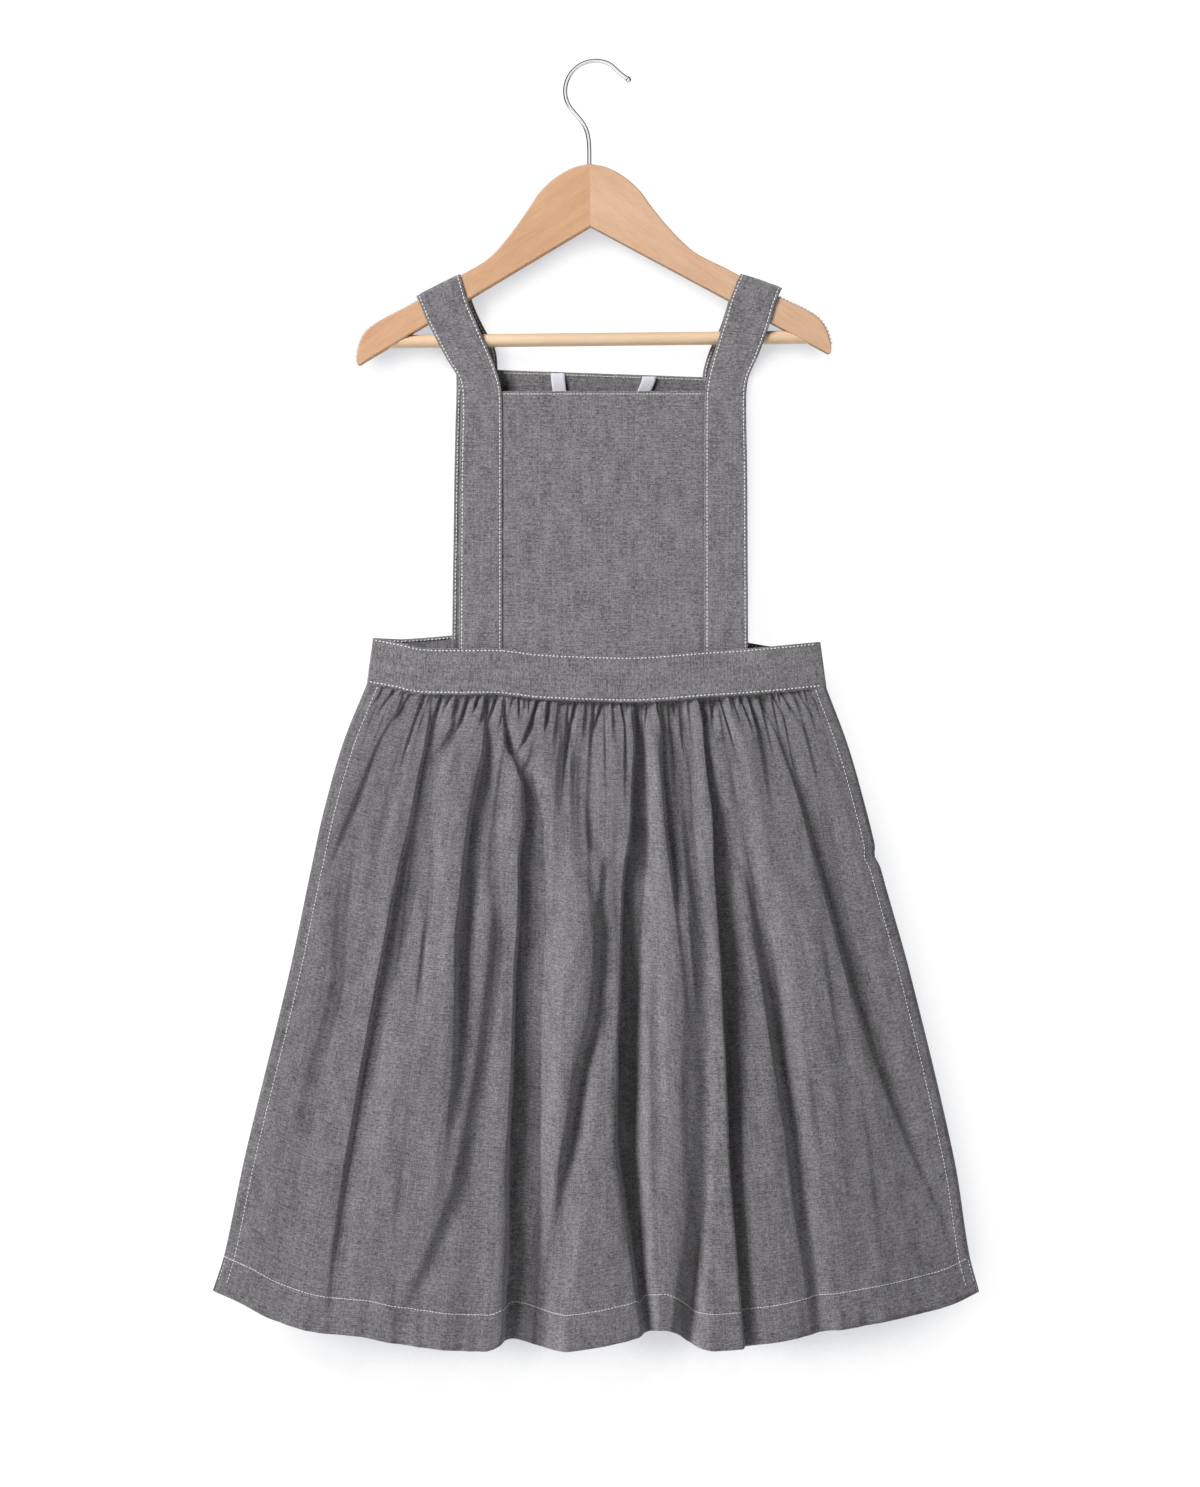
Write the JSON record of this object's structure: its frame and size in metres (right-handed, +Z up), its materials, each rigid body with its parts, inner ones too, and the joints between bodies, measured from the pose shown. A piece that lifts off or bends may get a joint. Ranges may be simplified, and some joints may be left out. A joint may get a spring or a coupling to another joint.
{
  "type": "apron on a clothes hanger",
  "caption": "Child's pinafore apron with a gathered skirt, square bib and wide shoulder straps, hung on a wooden hanger with a wire hook.",
  "frame": {"origin": "inner top of the hook's bend, where a rail carries the hanger", "axes": "+Z is up, the apron's front faces -Y and +X is to the right as seen from the front"},
  "size_m": [0.5806, 0.0786, 0.9736],
  "materials": {
    "chambray": "matte grey cotton chambray",
    "tape": "white twill tape",
    "wood": "satin lacquered beech",
    "pale_wood": "smooth unstained dowel",
    "chrome": "polished",
    "grip": "clear toothed strip"
  },
  "bodies": {
    "root": {"front_bib": "chambray", "back_bib": "chambray", "strap_left": "chambray", "strap_right": "chambray", "waistband_front": "chambray", "waistband_back": "chambray", "skirt_front": "chambray", "skirt_back": "chambray", "hanging_loop": "tape", "hanger_arm_left": "wood", "hanger_arm_right": "wood", "hanger_bar": "pale_wood", "hanger_hook": "chrome", "grip_strip_left": "grip", "grip_strip_right": "grip"}
  },
  "joints": []
}
